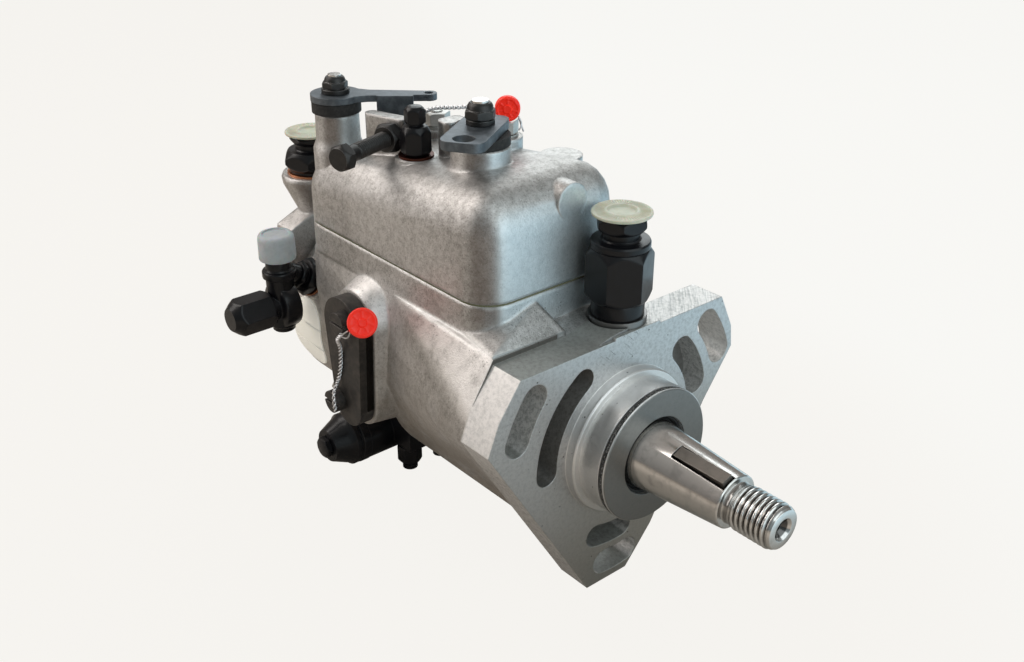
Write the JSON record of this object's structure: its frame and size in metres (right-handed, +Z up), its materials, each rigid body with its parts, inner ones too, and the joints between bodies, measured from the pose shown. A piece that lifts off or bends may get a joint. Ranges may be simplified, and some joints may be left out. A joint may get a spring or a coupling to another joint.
{
  "type": "rotary diesel injection pump",
  "caption": "Flange-mounted rotary diesel injection pump: tapered keyed shaft, cast body, governor cover with throttle and shut-off levers, side outlet, advance unit below.",
  "frame": {"origin": "centre of the mounting flange's front face, on the drive shaft's axis", "axes": "+X out along the tapered drive shaft, +Z up through the governor cover, the levers' inspection plate side at -Y"},
  "size_m": [0.2497, 0.1306, 0.1729],
  "materials": {
    "cast_aluminium": "grainy as-cast skin",
    "black_rubber": "matte",
    "bronze": "satin",
    "ground_steel": "ground",
    "blackened_steel": "black oxide",
    "gloss_black": "gloss black",
    "cream_plastic": "translucent",
    "copper": "dull copper",
    "gasket_fibre": "fibre",
    "zinc_steel": "dull plated",
    "brown_oxide": "oiled oxide",
    "red_plastic": "moulded",
    "bright_wire": "drawn",
    "white_plastic": "milky",
    "cream_label": "satin",
    "spring_steel": "drawn"
  },
  "bodies": {
    "pump": {"pump_housing": "cast_aluminium", "o_rings": "black_rubber", "shaft_oil_seal": "black_rubber", "shaft_bush": "bronze", "hydraulic_head": "ground_steel", "end_plate": "cast_aluminium", "end_plate_screws": "blackened_steel", "transfer_pump_liner": "ground_steel", "inlet_union": "gloss_black", "flange_union": "gloss_black", "union_plugs": "gloss_black", "union_dust_caps": "cream_plastic", "copper_washers": "copper", "governor_cover": "cast_aluminium", "cover_gasket": "gasket_fibre", "cover_nuts": "zinc_steel", "vent_fitting": "gloss_black", "stop_screws": "brown_oxide", "timing_plate": "brown_oxide", "timing_plate_screws": "brown_oxide", "lead_seals": "red_plastic", "seal_wires": "bright_wire", "outlet_adaptor": "gloss_black", "outlet_body": "gloss_black", "outlet_dust_cap": "white_plastic", "outlet_blanking_cap": "gloss_black", "outlet_plugs": "zinc_steel", "nameplate": "cream_label", "advance_housing": "gloss_black", "advance_end_caps": "gloss_black", "advance_studs": "gloss_black", "advance_spring": "spring_steel", "control_bracket": "zinc_steel", "governor_spring": "spring_steel"},
    "drive": {"drive_shaft": "ground_steel", "drive_key": "ground_steel", "weight_cage": "zinc_steel", "distributor_rotor": "ground_steel", "roller_carrier": "ground_steel", "transfer_rotor": "ground_steel"},
    "weight_1": {"flyweight_1": "ground_steel"},
    "weight_2": {"flyweight_2": "ground_steel"},
    "weight_3": {"flyweight_3": "ground_steel"},
    "weight_4": {"flyweight_4": "ground_steel"},
    "sleeve": {"thrust_sleeve": "ground_steel"},
    "shoe_1": {"roller_shoe_1": "ground_steel"},
    "shoe_2": {"roller_shoe_2": "ground_steel"},
    "cam": {"cam_ring": "ground_steel"},
    "advance": {"advance_piston": "ground_steel"},
    "arm": {"governor_arm": "zinc_steel"},
    "link": {"governor_link": "zinc_steel"},
    "meter": {"metering_valve": "ground_steel"},
    "regulator": {"regulating_valve": "ground_steel"},
    "throttle": {"throttle_shaft": "ground_steel", "throttle_lever": "brown_oxide", "throttle_nut": "blackened_steel"},
    "shutoff": {"shutoff_shaft": "ground_steel", "shutoff_lever": "brown_oxide", "shutoff_nut": "blackened_steel"}
  },
  "joints": [
    {"name": "drive_spin", "type": "hinge", "parent": "pump", "child": "drive", "pos_m": [0, 0, 0], "axis": [1, 0, 0], "continuous": true},
    {"name": "sleeve_slide", "type": "slide", "parent": "drive", "child": "sleeve", "axis": [1, 0, 0], "range_m": [0, 0.0032]},
    {"name": "weight_1_swing", "type": "hinge", "parent": "drive", "child": "weight_1", "pos_m": [-0.07, 0, 0.029], "axis": [0, -1, 0], "range_deg": [0, 15.5]},
    {"name": "weight_2_swing", "type": "hinge", "parent": "drive", "child": "weight_2", "pos_m": [-0.07, -0.029, 0], "axis": [0, 0, -1], "range_deg": [0, 15.5]},
    {"name": "weight_3_swing", "type": "hinge", "parent": "drive", "child": "weight_3", "pos_m": [-0.07, 0, -0.029], "axis": [0, 1, 0], "range_deg": [0, 15.5]},
    {"name": "weight_4_swing", "type": "hinge", "parent": "drive", "child": "weight_4", "pos_m": [-0.07, 0.029, 0], "axis": [0, 0, 1], "range_deg": [0, 15.5]},
    {"name": "arm_swing", "type": "hinge", "parent": "pump", "child": "arm", "pos_m": [-0.029, 0, 0.045], "axis": [0, -1, 0], "range_deg": [0, 4.17]},
    {"name": "link_slide", "type": "slide", "parent": "pump", "child": "link", "axis": [-1, 0, 0], "range_m": [0, 0.00154]},
    {"name": "valve_turn", "type": "hinge", "parent": "pump", "child": "meter", "pos_m": [-0.128, -0.014, 0.03], "axis": [0, 0, 1], "range_deg": [0, 15.86]},
    {"name": "shoe_1_slide", "type": "slide", "parent": "drive", "child": "shoe_1", "axis": [0, 0, 1], "range_m": [0, 0.0025]},
    {"name": "shoe_2_slide", "type": "slide", "parent": "drive", "child": "shoe_2", "axis": [0, 0, -1], "range_m": [0, 0.0025]},
    {"name": "cam_turn", "type": "hinge", "parent": "pump", "child": "cam", "pos_m": [-0.118, 0, 0], "axis": [1, 0, 0], "range_deg": [0, 6.5]},
    {"name": "advance_slide", "type": "slide", "parent": "pump", "child": "advance", "axis": [0, 1, 0], "range_m": [0, 0.005], "deforming": ["advance_spring"]},
    {"name": "regulator_slide", "type": "slide", "parent": "pump", "child": "regulator", "axis": [0, 0, 1], "range_m": [0, 0.006]},
    {"name": "throttle_turn", "type": "hinge", "parent": "pump", "child": "throttle", "pos_m": [-0.0555, -0.0185, 0.1], "axis": [0, 0, 1], "range_deg": [0, 45], "deforming": ["governor_spring"]},
    {"name": "shutoff_turn", "type": "hinge", "parent": "pump", "child": "shutoff", "pos_m": [-0.1247, -0.0315, 0.1], "axis": [0, 0, 1], "range_deg": [0, 40]}
  ],
  "couplings": [
    {"joint": "weight_1_swing", "follows": "sleeve_slide", "rad_per_m": 81.812},
    {"joint": "weight_2_swing", "follows": "sleeve_slide", "rad_per_m": 81.812},
    {"joint": "weight_3_swing", "follows": "sleeve_slide", "rad_per_m": 81.812},
    {"joint": "weight_4_swing", "follows": "sleeve_slide", "rad_per_m": 81.812},
    {"joint": "arm_swing", "follows": "sleeve_slide", "rad_per_m": 22.222},
    {"joint": "link_slide", "follows": "sleeve_slide", "ratio": 0.46667},
    {"joint": "valve_turn", "follows": "sleeve_slide", "rad_per_m": 84.849},
    {"joint": "shoe_2_slide", "follows": "shoe_1_slide", "ratio": 1},
    {"joint": "advance_slide", "follows": "cam_turn", "m_per_rad": 0.0438}
  ]
}
